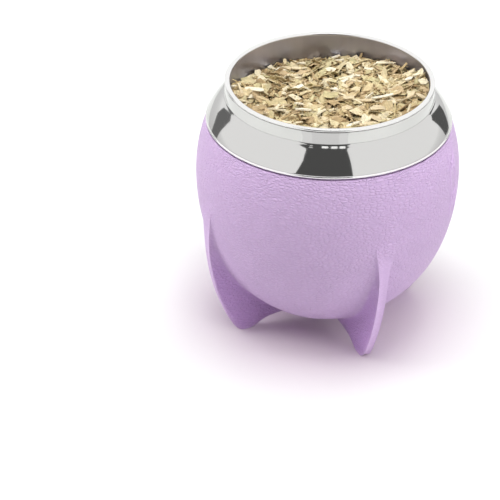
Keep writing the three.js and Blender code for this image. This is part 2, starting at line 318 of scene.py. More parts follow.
def fin_reach(sizes, angle):
    """Distance from the middle of the widest line to a fin's free edge, at an angle."""
    heel_r = np.linspace(FIN_INNER_R, FIN_PAD[0], 40)
    heel_z = FIN_HEEL_RISE * (1.0 - np.exp((heel_r - FIN_PAD[0]) / FIN_HEEL_LENGTH))
    low = math.asin((FIN_TOE_Z - FIN_ARC_CENTRE[1]) / FIN_ARC_RADIUS)
    high = math.asin((FIN_TOP_Z - FIN_ARC_CENTRE[1]) / FIN_ARC_RADIUS)
    turn = np.linspace(low, high, 60)
    arc_r = FIN_ARC_CENTRE[0] + FIN_ARC_RADIUS * np.cos(turn)
    arc_z = FIN_ARC_CENTRE[1] + FIN_ARC_RADIUS * np.sin(turn)
    edge_r = np.concatenate([[FIN_INNER_R - 1.5], heel_r, [FIN_PAD[1]], arc_r])
    edge_z = np.concatenate([[sizes.underside_z + 0.3], heel_z, [0.0], arc_z])
    angles = np.arctan2(edge_r, sizes.widest_z - edge_z)
    reaches = np.hypot(edge_r, sizes.widest_z - edge_z)
    return np.interp(angle, angles, reaches)


def fin_half_width(sizes, z):
    climb = share_of(z, (0.0, FIN_FLARE_FROM_Z))
    plate = sizes.fin_tip_width + (sizes.fin_mid_width - sizes.fin_tip_width) * climb
    rise = share_of(z, (FIN_FLARE_FROM_Z, FIN_TOP_Z))
    flare = rise * rise * (3.0 - 2.0 * rise)
    return (plate + (sizes.fin_top_width - plate) * flare) / 2.0


def body_profile(sizes):
    """From the middle of the underside out and up to the ledge, and back down the pocket."""
    profile = [(0.0, sizes.underside_z)]
    for angle in np.radians(RING_ANGLES):
        distance = float(skin_distance(sizes, angle))
        profile.append((distance * math.sin(angle), sizes.widest_z - distance * math.cos(angle)))
    profile += [(upper_radius(sizes, z), z) for z in UPPER_RINGS_Z]
    rim = upper_radius(sizes, sizes.ledge_z)
    wall = sizes.vessel_wall + VESSEL_GAP
    pocket = sizes.vessel_radius + wall
    brim = sizes.ledge_z - RIM_DROP
    floor = brim - GROOVE_DEPTH
    profile += [(rim + 0.03, brim - 0.15), (rim - 0.1, brim), (rim - 0.25, brim - 0.1),
                (rim - 0.42, floor + 0.25), (rim - 0.7, floor), (rim - 0.97, floor + 0.25),
                (rim - 1.0, sizes.ledge_z), (rim - 1.2, sizes.ledge_z),
                (rim - 1.5, sizes.ledge_z + 0.3), *SHELF, (pocket + 0.4, SHELF_TOP_Z),
                (pocket, SHELF_TOP_Z - 0.4), (pocket, 80.0), (pocket, 65.0)]
    return profile + arc((0.0, BOWL_TOP_Z), (pocket, BOWL_DEPTH + wall), 0.0, -90.0, 8)


def place_columns(sizes, piece):
    """Slides the body's columns so that they run along each fin, and notes where each vertex is."""
    points = points_of(piece)
    radius = np.hypot(points[:, 0], points[:, 1])
    turn = np.mod(np.arctan2(points[:, 1], points[:, 0]), 2 * math.pi)
    quarter = 2 * math.pi / FEET
    column = np.rint(turn / (quarter / COLUMNS_A_QUARTER)).astype(int)
    half = COLUMNS_A_QUARTER // 2
    offset = column % COLUMNS_A_QUARTER - half
    middle = (column - offset) * (quarter / COLUMNS_A_QUARTER)
    distance = np.array(COLUMN_OFFSETS)[np.abs(offset)]
    base = fin_half_width(sizes, points[:, 2]) + FIN_ROOT_FLARE
    distance = distance + (base - COLUMN_OFFSETS[1]) * (np.abs(offset) > 0)
    share = np.array(COLUMN_SHARES)[np.abs(offset)] * quarter / 2
    safe = np.maximum(radius, 1e-6)
    slid = np.where(np.abs(offset) == half, share, np.minimum(distance / safe, share))
    even = np.abs(offset) * quarter / COLUMNS_A_QUARTER
    above = share_of(points[:, 2], COLUMNS_DRIFT_Z)
    away = slid * (1 - above) + even * above
    new_turn = middle + np.sign(offset) * away
    points[:, 0] = radius * np.cos(new_turn)
    points[:, 1] = radius * np.sin(new_turn)
    set_points(piece, points)
    polar = np.arctan2(radius, sizes.widest_z - points[:, 2])
    write_layer(piece, "polar", polar)
    write_layer(piece, "side", offset)
    write_layer(piece, "middle", middle)


def select_fin_strips(sizes, piece):
    """Selects the two columns of outer faces under each fin."""
    points = points_of(piece)
    side = np.abs(read_layer(piece, "side"))
    polar = read_layer(piece, "polar")
    centre = np.array([0.0, 0.0, sizes.widest_z])
    reach = np.linalg.norm(points - centre, axis=1)
    on_skin = np.abs(reach - skin_distance(sizes, polar)) < NEAR_SKIN
    lowest = math.radians(RING_ANGLES[1]) - 0.01
    inside = on_skin & (side < 1.5) & (polar > lowest) & (points[:, 2] < FIN_TOP_Z)
    for face in piece.data.polygons:
        face.select = bool(inside[list(face.vertices)].all())
    for parts in (piece.data.edges, piece.data.vertices):
        parts.foreach_set("select", np.zeros(len(parts), bool))


def fin_layers(sizes, polar):
    """Distances and half widths of the layers that raise a fin, from its web to its free edge."""
    skin = skin_distance(sizes, polar)
    reach = np.maximum(fin_reach(sizes, polar), skin + 0.02)
    proud = reach - skin
    web = np.minimum(FIN_WEB_HEIGHT, proud * 0.7)
    z = sizes.widest_z - reach * np.cos(polar)
    half = fin_half_width(sizes, z)
    edge = np.minimum(0.6, proud * 0.2)
    return [
        (skin + web * 0.14, half + 0.9),
        (skin + web * 0.38, half + 0.3),
        (skin + web, half + 0.02),
        (reach - edge, half),
        (reach, half - 0.02),
    ]


def raise_fins(sizes, piece):
    """Extrudes the strips outwards layer by layer into the four fins."""
    make_active(piece)
    for layer in range(FIN_LAYERS):
        bpy.ops.object.mode_set(mode="EDIT")
        bpy.ops.mesh.select_mode(type="FACE")
        bpy.ops.mesh.extrude_region_move(TRANSFORM_OT_translate={"value": (0, 0, 0)})
        bpy.ops.object.mode_set(mode="OBJECT")
        chosen = np.empty(len(piece.data.vertices), bool)
        piece.data.vertices.foreach_get("select", chosen)
        polar = read_layer(piece, "polar")[chosen]
        side = read_layer(piece, "side")[chosen]
        middle = read_layer(piece, "middle")[chosen]
        distance, half = fin_layers(sizes, polar)[layer]
        if layer == FIN_LAYERS - 1:
            proud = distance - skin_distance(sizes, polar)
            hollow = FIN_EDGE_HOLLOW * share_of(proud, HOLLOW_HEIGHTS)
            distance = distance - hollow * (np.abs(side) < 0.5)
            below_top = FIN_TOP_Z - sizes.widest_z + distance * np.cos(polar)
            ridge = FIN_RIDGE * (1.0 - share_of(proud, (0.0, RIDGE_END_HEIGHT)))
            ridge = ridge * share_of(below_top, (0.0, RIDGE_TOP_FADE))
            distance = distance + ridge * (np.abs(side) > 0.5)
        out = distance * np.sin(polar)
        points = points_of(piece)
        points[chosen, 0] = out * np.cos(middle) - side * half * np.sin(middle)
        points[chosen, 1] = out * np.sin(middle) + side * half * np.cos(middle)
        points[chosen, 2] = sizes.widest_z - distance * np.cos(polar)
        set_points(piece, points)


def finish_fins(sizes, piece):
    """Creases each fin's long edges, and marks where it has no grain and where its sides get painted
    shade.
    """
    points = points_of(piece)
    side = np.abs(read_layer(piece, "side"))
    polar = read_layer(piece, "polar")
    middle = read_layer(piece, "middle")
    along = points[:, 0] * np.cos(middle) + points[:, 1] * np.sin(middle)
    reach = np.hypot(along, points[:, 2] - sizes.widest_z)
    free = fin_reach(sizes, polar)
    skin = skin_distance(sizes, polar)
    proud = free - skin
    at_side = (side > 0.5) & (side < 1.5)
    on_edge = (reach > free - NEAR_EDGE) & at_side
    layer = piece.data.attributes.new("crease_edge", "FLOAT", "EDGE")
    for edge in piece.data.edges:
        a, b = edge.vertices
        if on_edge[a] and on_edge[b]:
            sharp = float(share_of(proud[a], SHARP_HEIGHTS))
            layer.data[edge.index].value = FIN_EDGE_CREASE * sharp
    on_strip = (reach > free - FIN_EDGE_HOLLOW - NEAR_EDGE) & (side < 1.5)
    write_layer(piece, "grain", 1.0 - share_of(proud, BARE_HEIGHTS) * on_strip)
    # Painted shade: the fins' sides away from the edge strip are marked to be coloured deeper, more
    # where the fin stands further out
    on_side = at_side & (reach > skin + 0.3) & ~on_strip
    write_layer(piece, "deep", share_of(proud, FIN_SHADE_HEIGHTS) * on_side)


def make_body(sizes):
    piece = trace_profile("cup_body", body_profile(sizes))
    spin_round(piece, COLUMNS_A_QUARTER * FEET)
    place_columns(sizes, piece)
    select_fin_strips(sizes, piece)
    raise_fins(sizes, piece)
    finish_fins(sizes, piece)
    subdivide_smoothly(piece, levels=2)
    for name in ("polar", "side", "middle"):
        piece.data.attributes.remove(piece.data.attributes[name])
    smooth(piece, degrees=50.0)
    return piece


# The moulded seam on the +X side

SEAM_SPACING = 5.2
SEAM_WELT = 0.5
SEAM_TOP_Z = 84.0
SEAM_BOTTOM_Z = 53.0
SEAM_STITCHES = (76.0, 62.5)
SEAM_STITCH_RISE = 2.8
# The welts' middle lines lie this far under the skin, and the stitches' a little less
SEAM_SUNK = 0.36
STITCH_SUNK = 0.26


def body_surface(sizes, across, z, lift):
    """A point on the body near +X: across is measured sideways along the skin."""
    if z >= sizes.widest_z:
        radius = upper_radius(sizes, z)
    else:
        share = (sizes.widest_z - z) / sizes.lower_half
        radius = sizes.body_radius * (1 - share ** sizes.lower_power) ** (1 / sizes.lower_power)
    radius += lift
    turn = across / radius
    return (radius * math.cos(turn), radius * math.sin(turn), z)


def welt_along(name, paths):
    """A soft round welt of plastic along each path, as one piece."""
    deselect_all()
    curve = bpy.data.curves.new(name, "CURVE")
    curve.dimensions = "3D"
    curve.bevel_depth = SEAM_WELT * MM
    curve.bevel_resolution = 3
    curve.use_fill_caps = True
    for path in paths:
        spline = curve.splines.new("POLY")
        spline.points.add(len(path) - 1)
        for point, place in zip(spline.points, path):
            point.co = (place[0] * MM, place[1] * MM, place[2] * MM, 1.0)
        ends = min(4, len(path) // 2)
        for i in range(ends):
            spline.points[i].radius = (i + 0.6) / (ends + 0.6)
            spline.points[-1 - i].radius = (i + 0.6) / (ends + 0.6)
    make_active(add_object(name, curve))
    bpy.ops.object.convert(target="MESH")
    return bpy.context.object


def make_seam(sizes):
    """Two upright welts with crossed stitches between them."""
    half = SEAM_SPACING / 2
    paths = []
    for side in (-1, 1):
        heights = np.linspace(SEAM_BOTTOM_Z, SEAM_TOP_Z, 40)
        paths.append([body_surface(sizes, side * half, z, -SEAM_SUNK) for z in heights])
    for middle in SEAM_STITCHES:
        for side in (-1, 1):
            steps = np.linspace(-1.0, 1.0, 15)
            paths.append([body_surface(sizes, side * s * half, middle + SEAM_STITCH_RISE * s,
                                       -STITCH_SUNK) for s in steps])
    piece = welt_along("seam_welts", paths)
    smooth(piece, degrees=60.0)
    return piece


# Steel

LIP_HALF_WIDTH = 0.98
LIP_HALF_HEIGHT = 0.64
LIP_CENTRE_Z = 101.21
# Between these heights the vessel's inner wall turns from satin to polish, and its colour to the
# lip's paler one, which is a painted highlight
POLISH_Z = (LIP_CENTRE_Z - 0.1, LIP_CENTRE_Z + 0.2)
NECK_TOP_Z = 100.68
NECK_BOTTOM_Z = 95.8
SHOULDER_BOTTOM_Z = 85.4
SHOULDER_ARC = 30.0
# The bead at the shoulder's lower edge: its radius, and how far it stands out
BEAD = 0.48
BEAD_PROUD = 0.24
NECK_RINGS_Z = (98.8, 97.8)
VESSEL_OUTER_RINGS_Z = (62.0, 75.0, 88.0, 96.0, 99.5)
VESSEL_INNER_RINGS_Z = (100.8, 100.2, 98.5, 96.0, 92.0, 88.0, 80.0, 70.0, 60.0)
NECK_ROUNDING = 0.15
# Thickness of the shoulder's sheet
SHEET = 1.0
# The crease between neck and shoulder turns this much, in degrees
CREASE_TURN = 1.0


def shoulder_arc(sizes):
    """Centre and end angles, in degrees, of the shoulder's arc."""
    top = Vector((sizes.neck_radius, NECK_BOTTOM_Z))
    bottom = Vector((sizes.shoulder_radius, SHOULDER_BOTTOM_Z + 2 * BEAD))
    chord = bottom - top
    inward = Vector((chord.y, -chord.x)).normalized()
    rise = math.sqrt(SHOULDER_ARC ** 2 - (chord.length / 2) ** 2)
    centre = (top + bottom) / 2 + inward * rise
    angles = [math.degrees(math.atan2(p.y - centre.y, p.x - centre.x)) for p in (top, bottom)]
    return (centre.x, centre.y), angles[0], angles[1]


def make_collar(sizes):
    centre, top, bottom = shoulder_arc(sizes)
    inner_r = sizes.vessel_radius + sizes.vessel_wall + VESSEL_GAP
    bead_r = sizes.shoulder_radius + BEAD_PROUD - BEAD
    profile = [(inner_r, NECK_TOP_Z - 0.2), (inner_r + 0.2, NECK_TOP_Z)]
    profile += arc((sizes.neck_radius - NECK_ROUNDING, NECK_TOP_Z - NECK_ROUNDING),
                   (NECK_ROUNDING, NECK_ROUNDING), 90.0, 0.0, 4)
    profile += [(sizes.neck_radius, z) for z in NECK_RINGS_Z]
    outer = arc(centre, (SHOULDER_ARC, SHOULDER_ARC), top - CREASE_TURN, bottom, 24)
    rise = math.radians(top - CREASE_TURN)
    fillet = (outer[0][0] - sizes.neck_radius) / (1.0 - math.cos(rise))
    crease = (outer[0][0] + fillet * math.cos(rise), outer[0][1] + fillet * math.sin(rise))
    profile += arc(crease, (fillet, fillet), 180.0, 180.0 + top - CREASE_TURN, 8)[:-1]
    profile += outer
    profile += arc((bead_r, SHOULDER_BOTTOM_Z + BEAD), (BEAD, BEAD), 60.0, -90.0, 10)
    profile += [(sizes.shoulder_radius - SHEET, SHOULDER_BOTTOM_Z)]
    profile += arc(centre, (SHOULDER_ARC - SHEET, SHOULDER_ARC - SHEET), bottom, top, 12)[1:]
    profile += [(inner_r, NECK_BOTTOM_Z - 0.4), profile[0]]
    piece = trace_profile("steel_collar_ring", profile)
    spin_round(piece, STEEL_STEPS)
    smooth(piece, degrees=35.0)
    return piece


def make_vessel(sizes):
    inner = sizes.vessel_radius
    outer = inner + sizes.vessel_wall
    depth = BOWL_DEPTH + sizes.vessel_wall
    profile = arc((0.0, BOWL_TOP_Z), (outer, depth), -90.0, 0.0, 14)
    profile += [(outer, z) for z in VESSEL_OUTER_RINGS_Z]
    profile += arc((inner + LIP_HALF_WIDTH, LIP_CENTRE_Z), (LIP_HALF_WIDTH, LIP_HALF_HEIGHT),
                   -80.0, 180.0, 24)
    profile += [(inner, z) for z in VESSEL_INNER_RINGS_Z]
    profile += arc((0.0, BOWL_TOP_Z), (inner, BOWL_DEPTH), 0.0, -90.0, 14)
    piece = trace_profile("steel_vessel_lip", profile)
    spin_round(piece, STEEL_STEPS)
    points = points_of(piece)
    outside = np.hypot(points[:, 0], points[:, 1]) > inner + 0.3
    write_layer(piece, "polish", np.where(outside, 1.0, share_of(points[:, 2], POLISH_Z)))
    smooth(piece, degrees=35.0)
    return piece


# Leaf

HEAP_MIDDLE_Z = 95.3
HEAP_LOW_SIDE = math.radians(142.0)
HEAP_FALL = 0.13
HEAP_RISE = 0.05
# Piles by the wall: angle, distance from the middle, height and width
HEAP_PILES = ((31.0, 36.5, 3.4, 8.0), (194.0, 37.0, 4.2, 7.5))
HEAP_WAVE = 2 * math.pi / 8.0
HEAP_WAVE_HEIGHT = 0.5
LIE_ANGLE = math.radians(40.0)
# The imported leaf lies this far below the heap's surface, under the loose pieces
CORE_DROP = 1.8
# It reaches this far into the vessel's wall
CORE_BITE = 0.08
CORE_RINGS = 60
CORE_STEPS = 168
CORE_SEED = 3
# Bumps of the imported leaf: size and height
CORE_BUMPS = ((5.0, 0.35), (2.6, 0.35), (1.3, 0.3))
# Loose pieces of leaf stay inside this radius, just clear of the wall
LEAF_REACH = 37.05
# A piece that would pass it is slid inwards this often at most, and then dropped
SLIDES = 4
SLIDE_SPARE = 0.02
SLOPE_STEP = 0.5
STRIP_RINGS = 5
STRIP_SIDES = 4
FLAKE_CORNERS = 8


def heap_height(x, y):
    """Height of the heap's surface without its loose leaf, as in the solid it stands for."""
    low = x * math.cos(HEAP_LOW_SIDE) + y * math.sin(HEAP_LOW_SIDE)
    height = HEAP_MIDDLE_Z - np.where(low > 0, HEAP_FALL, HEAP_RISE) * low
    for angle, reach, rise, width in HEAP_PILES:
        dx = x - reach * math.cos(math.radians(angle))
        dy = y - reach * math.sin(math.radians(angle))
        height = height + rise * np.exp(-(dx * dx + dy * dy) / width ** 2)
    wave = np.sin(HEAP_WAVE * x + 1) * np.cos(HEAP_WAVE * y * 0.8 + 2)
    return height + HEAP_WAVE_HEIGHT * wave


def make_leaf_core(sizes):
    """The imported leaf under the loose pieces: a body that reaches just into the vessel's wall."""
    wall = sizes.vessel_radius + CORE_BITE
    profile = arc((0.0, BOWL_TOP_Z), (wall, BOWL_DEPTH), -90.0, 0.0, 8)
    profile += [(wall * (1 - i / CORE_RINGS), HEAP_MIDDLE_Z) for i in range(CORE_RINGS + 1)]
    piece = trace_profile("leaf_core", profile)
    spin_round(piece, CORE_STEPS)
    points = points_of(piece)
    top = points[:, 2] > HEAP_MIDDLE_Z - 0.01
    x, y = points[top, 0], points[top, 1]
    rough = np.zeros(len(x))
    draw = np.random.default_rng(CORE_SEED)
    for size, height in CORE_BUMPS:
        for _ in range(4):
            turn = draw.uniform(0, math.pi)
            phase = draw.uniform(0, 2 * math.pi, 2)
            u = (x * math.cos(turn) + y * math.sin(turn)) / size * 2 * math.pi
            v = (y * math.cos(turn) - x * math.sin(turn)) / size * 2 * math.pi
            rough += height * 0.5 * np.sin(u + phase[0]) * np.sin(v * 0.7 + phase[1])
    points[top, 2] = heap_height(x, y) - CORE_DROP + rough
    set_points(piece, points)
    smooth(piece, degrees=30.0)
    return piece


def strip_shape(draw, length, width, thickness):
    """A shred: rings of points along a bent, twisted and tapered line."""
    rings, sides = STRIP_RINGS, STRIP_SIDES
    along = np.linspace(-0.5, 0.5, rings)
    blunt = draw.uniform(0.3, 0.9, 2)
    girth = 1.0 - np.where(along < 0, 1 - blunt[0], 1 - blunt[1]) * (2 * np.abs(along)) ** 2.5
    girth = girth * (1 + draw.normal(0, 0.12, rings))
    curl = draw.normal(0, 0.16) * length
    bend = draw.normal(0, 0.12) * length
    angle = 2 * math.pi * (np.arange(sides) + 0.5) / sides
    y = np.cos(angle)[None, :] * girth[:, None] * width / 2 / math.cos(math.pi / sides)
    z = np.sin(angle)[None, :] * np.ones(rings)[:, None] * thickness / 2
    turn = draw.normal(0, 0.5) * along[:, None]
    y, z = y * np.cos(turn) - z * np.sin(turn), y * np.sin(turn) + z * np.cos(turn)
    z = z - curl * (along[:, None] ** 2) + curl / 12
    y = y + bend * (along[:, None] ** 2)
    x = np.repeat(along[:, None] * length, sides, axis=1)
    return np.stack([x, y, z], axis=-1).reshape(-1, 3)


def strip_faces():
    faces = []
    for r in range(STRIP_RINGS - 1):
        for s in range(STRIP_SIDES):
            a, b = r * STRIP_SIDES, (s + 1) % STRIP_SIDES
            faces.append((a + s, a + STRIP_SIDES + s, a + STRIP_SIDES + b, a + b))
    last = (STRIP_RINGS - 1) * STRIP_SIDES
    faces.append(tuple(range(STRIP_SIDES)))
    faces.append(tuple(last + s for s in reversed(range(STRIP_SIDES))))
    return faces


def flake_shape(draw, length, width, thickness):
    """A torn flake: an angular outline round a middle, dished, folded and thin at its edge."""
    count = FLAKE_CORNERS
    angle = 2 * math.pi * (np.arange(count) + draw.uniform(-0.32, 0.32, count)) / count
    power = draw.uniform(1.3, 5.0)
    reach = (np.abs(np.cos(angle)) ** power + np.abs(np.sin(angle)) ** power) ** (-1 / power)
    reach = reach * draw.uniform(0.74, 1.06, count)
    taper = draw.uniform(-0.6, 0.6)
    x = reach * np.cos(angle)
    y = reach * np.sin(angle) * (1 + taper * x)
    x, y = x * length / 2, y * width / 2
    share = np.concatenate([[0.0], np.full(count, 0.58), np.ones(count)])
    x = np.concatenate([[0.0], x, x]) * share
    y = np.concatenate([[0.0], y, y]) * share
    curl = draw.normal(0, 0.045)
    dish = draw.normal(0, 0.10)
    fold = draw.normal(0, 0.14)
    z = curl * x * x + dish * y * y + fold * np.abs(y)
    z = z + share * draw.normal(0, 0.14, len(x))
    z = z - z.mean()
    half = thickness / 2 * (1.0 - 0.45 * share)
    top = np.stack([x, y, z + half], axis=-1)
    bottom = np.stack([x, y, z - half], axis=-1)
    return np.concatenate([top, bottom])


def flake_faces():
    count = FLAKE_CORNERS
    lower = 2 * count + 1
    faces = []
    for i in range(count):
        j = (i + 1) % count
        inner, outer = (1 + i, 1 + j), (1 + count + i, 1 + count + j)
        faces.append((0, inner[0], inner[1]))
        faces.append((inner[0], outer[0], outer[1], inner[1]))
        faces.append((lower, lower + inner[1], lower + inner[0]))
        faces.append((lower + inner[0], lower + inner[1], lower + outer[1], lower + outer[0]))
        faces.append((outer[0], lower + outer[0], lower + outer[1], outer[1]))
    return faces


def random_turn(draw, tilt, spread):
    """Turns a piece of leaf off the level at random, near the way that most pieces lie."""
    lie = LIE_ANGLE + draw.normal(0, spread)
    return Euler((draw.normal(0, tilt), draw.normal(0, tilt), lie)).to_matrix()


def lay_on_heap(points, turn, reach, around, lift):
    """Lays one turned piece of leaf on the heap's slope, at a distance and angle from its middle."""
    x, y = reach * math.cos(around), reach * math.sin(around)
    step = SLOPE_STEP
    slope_x = (heap_height(x + step, y) - heap_height(x - step, y)) / (2 * step)
    slope_y = (heap_height(x, y + step) - heap_height(x, y - step)) / (2 * step)
    up = Vector((-float(slope_x), -float(slope_y), 1.0)).normalized()
    lean = Vector((0, 0, 1)).rotation_difference(up).to_matrix()
    placed = points @ np.array(lean @ turn).T
    return placed + np.array([x, y, float(heap_height(x, y)) + lift])


def scatter(name, draw, count, shape, faces, sizes, lie):
    """Many separate pieces of leaf as one mesh, with a tone and a fibre direction each."""
    lifts, tilt, spread = lie
    all_points, all_faces, tones, fibres = [], [], [], []
    made = 0
    while made < count:
        size = [draw.uniform(*limits) for limits in sizes]
        reach = math.sqrt(draw.uniform(0, 1)) * LEAF_REACH
        around = draw.uniform(0, 2 * math.pi)
        points = shape(draw, *size)
        turn = random_turn(draw, tilt, spread)
        lift = draw.uniform(*lifts)
        placed = lay_on_heap(points, turn, reach, around, lift)
        for _ in range(SLIDES):
            excess = np.hypot(placed[:, 0], placed[:, 1]).max() - LEAF_REACH
            if excess <= 0:
                break
            reach -= excess + SLIDE_SPARE
            placed = lay_on_heap(points, turn, reach, around, lift)
        if excess > 0:
            continue
        all_faces.extend(tuple(i + made * len(points) for i in face) for face in faces)
        all_points.append(placed)
        tones.append(np.full(len(points), draw.uniform(0, 1)))
        seed = np.full(len(points), draw.uniform(0, 50))
        fibres.append(np.stack([points[:, 0], points[:, 1], seed], axis=-1))
        made += 1
    mesh = bpy.data.meshes.new(name)
    mesh.from_pydata((np.concatenate(all_points) * MM).tolist(), [], all_faces)
    fibre = mesh.attributes.new("fibre", "FLOAT_VECTOR", "POINT")
    fibre.data.foreach_set("vector", np.concatenate(fibres).astype(np.float32).ravel())
    piece = add_object(name, mesh)
    write_layer(piece, "tone", np.concatenate(tones))
    smooth(piece, degrees=32.0)
    return piece


# Materials

# Tones of the leaf from the darkest piece to the palest
SMALL_LEAF = ((0.22, 0.14, 0.06), (0.50, 0.36, 0.18), (0.60, 0.48, 0.25), (0.74, 0.61, 0.36))
BROAD_LEAF = ((0.46, 0.33, 0.17), (0.61, 0.46, 0.27), (0.66, 0.53, 0.30), (0.58, 0.51, 0.28),
              (0.70, 0.58, 0.35), (0.84, 0.75, 0.53))
PALE_STEM = ((0.68, 0.55, 0.35), (0.82, 0.72, 0.50), (0.90, 0.84, 0.68))
# Between these heights the collar's colour turns paler towards its bead: a painted highlight along
# the bead
BEAD_HIGHLIGHT_FROM_Z = 86.45
BEAD_HIGHLIGHT_TO_Z = 86.3


def new_material(name):
    """A new material with its node tree and its shader."""
    material = bpy.data.materials.new(name)
    material.use_nodes = True
    tree = material.node_tree
    return material, tree, tree.nodes["Principled BSDF"]


def feed(tree, node, sockets):
    """Sets each named input of a node to a value, or links it to the output that feeds it."""
    for name, source in sockets.items():
        if isinstance(source, bpy.types.NodeSocket):
            tree.links.new(source, node.inputs[name])
        else:
            node.inputs[name].default_value = source


def add_node(tree, kind, sockets, **settings):
    """Adds a node: first its settings, then what its inputs get."""
    node = tree.nodes.new(kind)
    for name, value in settings.items():
        setattr(node, name, value)
    feed(tree, node, sockets)
    return node


def object_place(tree):
    return add_node(tree, "ShaderNodeTexCoord", {}).outputs["Object"]


def height_of(tree, place):
    return add_node(tree, "ShaderNodeSeparateXYZ", {"Vector": place}).outputs["Z"]


def attribute(tree, name, output="Fac"):
    return add_node(tree, "ShaderNodeAttribute", {}, attribute_name=name).outputs[output]


def work_out(tree, operation, *values):
    """One sum, on numbers or on what other nodes give."""
    node = add_node(tree, "ShaderNodeMath", dict(enumerate(values)), operation=operation)
    return node.outputs["Value"]


def noise(tree, place, scale, detail=2.0):
    node = add_node(tree, "ShaderNodeTexNoise",
                    {"Vector": place, "Scale": scale, "Detail": detail})
    return node.outputs["Fac"]


def map_range(tree, value, given, wanted=(0.0, 1.0), **settings):
    """Carries a value from one range of (low, high) to another."""
    node = add_node(tree, "ShaderNodeMapRange",
                    {"Value": value, "From Min": given[0], "From Max": given[1],
                     "To Min": wanted[0], "To Max": wanted[1]}, **settings)
    return node.outputs["Result"]


def mix_colours(tree, factor, first, second, **settings):
    node = add_node(tree, "ShaderNodeMix", {"Factor": factor, "A": first, "B": second},
                    data_type="RGBA", **settings)
    return node.outputs["Result"]


def ramp(tree, value, stops):
    """A colour ramp through stops, each a position and a colour."""
    node = add_node(tree, "ShaderNodeValToRGB", {"Fac": value})
    elements = node.color_ramp.elements
    for element, (position, colour) in zip(elements, (stops[0], stops[-1])):
        element.position = position
        element.color = (*colour, 1.0)
    for position, colour in stops[1:-1]:
        elements.new(position).color = (*colour, 1.0)
    return node.outputs["Color"]


def bump(tree, height, strength, distance):
    """A normal from a height; the distance is in millimetres."""
    node = add_node(tree, "ShaderNodeBump",
                    {"Height": height, "Strength": strength, "Distance": distance * MM})
    return node.outputs["Normal"]


def make_group(name, inputs, outputs):
    """A node group with inputs as (label, kind, default) and outputs as labels of floats."""
    group = bpy.data.node_groups.new(name, "ShaderNodeTree")
    for label, kind, default in inputs:
        socket = group.interface.new_socket(label, in_out="INPUT", socket_type=kind)
        if default is not None:
            socket.default_value = default
    for label in outputs:
        group.interface.new_socket(label, in_out="OUTPUT", socket_type="NodeSocketFloat")
    return group, group.nodes.new("NodeGroupInput").outputs, group.nodes.new("NodeGroupOutput")


def pebble_grain(name):
    """Leather grain: rounded pebbles with fine creases between them, and a finer second grain."""
    group, given, result = make_group(
        name, [("Vector", "NodeSocketVector", None), ("Scale", "NodeSocketFloat", 700.0)],
        ["Height", "Crease"])
    warp = add_node(group, "ShaderNodeTexNoise",
                    {"Vector": given["Vector"], "Scale": 260.0, "Detail": 2.0})
    shift = add_node(group, "ShaderNodeVectorMath",
                     {0: warp.outputs["Color"], 1: (0.0012, 0.0012, 0.0012), 2: given["Vector"]},
                     operation="MULTIPLY_ADD")
    warped = {"Vector": shift.outputs["Vector"], "Scale": given["Scale"]}
    cells = add_node(group, "ShaderNodeTexVoronoi", warped, feature="F1")
    edges = add_node(group, "ShaderNodeTexVoronoi", warped, feature="DISTANCE_TO_EDGE")
    crease = map_range(group, edges.outputs["Distance"], (0.0, 0.26))
    fine = noise(group, given["Vector"], 2600.0, 3.0)
    dome = work_out(group, "MULTIPLY_ADD", cells.outputs["Distance"], -0.55, crease)
    total = work_out(group, "MULTIPLY_ADD", fine, 0.08, dome)
    feed(group, result, {"Height": total, "Crease": crease})
    return group


def handling_marks(name):
    """Faint handling marks: broad cloudy patches that make polish a little duller."""
    group, given, result = make_group(
        name, [("Vector", "NodeSocketVector", None), ("Scale", "NodeSocketFloat", 60.0),
               ("Low", "NodeSocketFloat", 0.05), ("High", "NodeSocketFloat", 0.12)],
        ["Roughness"])
    cloud = noise(group, given["Vector"], given["Scale"], 5.0)
    spread = map_range(group, cloud, (0.35, 0.7), (given["Low"], given["High"]))
    feed(group, result, {"Roughness": spread})
    return group


def leaf_fibre(name):
    """Streaks along a leaf or stem piece, from its own fibre direction."""
    group, given, result = make_group(
        name, [("Stretch", "NodeSocketFloat", 0.35), ("Fineness", "NodeSocketFloat", 4.0)],
        ["Streak", "Blotch"])
    fibre = attribute(group, "fibre", "Vector")
    parts = add_node(group, "ShaderNodeSeparateXYZ", {"Vector": fibre}).outputs
    joined = add_node(group, "ShaderNodeCombineXYZ", {
        "X": work_out(group, "MULTIPLY", parts["X"], given["Stretch"]),
        "Y": work_out(group, "MULTIPLY", parts["Y"], given["Fineness"]),
        "Z": parts["Z"]})
    feed(group, result, {"Streak": noise(group, joined.outputs["Vector"], 1.0, 4.0),
                         "Blotch": noise(group, fibre, 0.9)})
    return group


def use_group(tree, name, build, sockets):
    """Outputs of a node that uses the group of this name, which is built on first use."""
    group = bpy.data.node_groups.get(name) or build(name)
    return add_node(tree, "ShaderNodeGroup", sockets, node_tree=group).outputs


def marked(tree, place, low, high):
    """Roughness between two values, with handling marks."""
    sockets = {"Vector": place, "Low": low, "High": high}
    return use_group(tree, "Handling marks", handling_marks, sockets)["Roughness"]


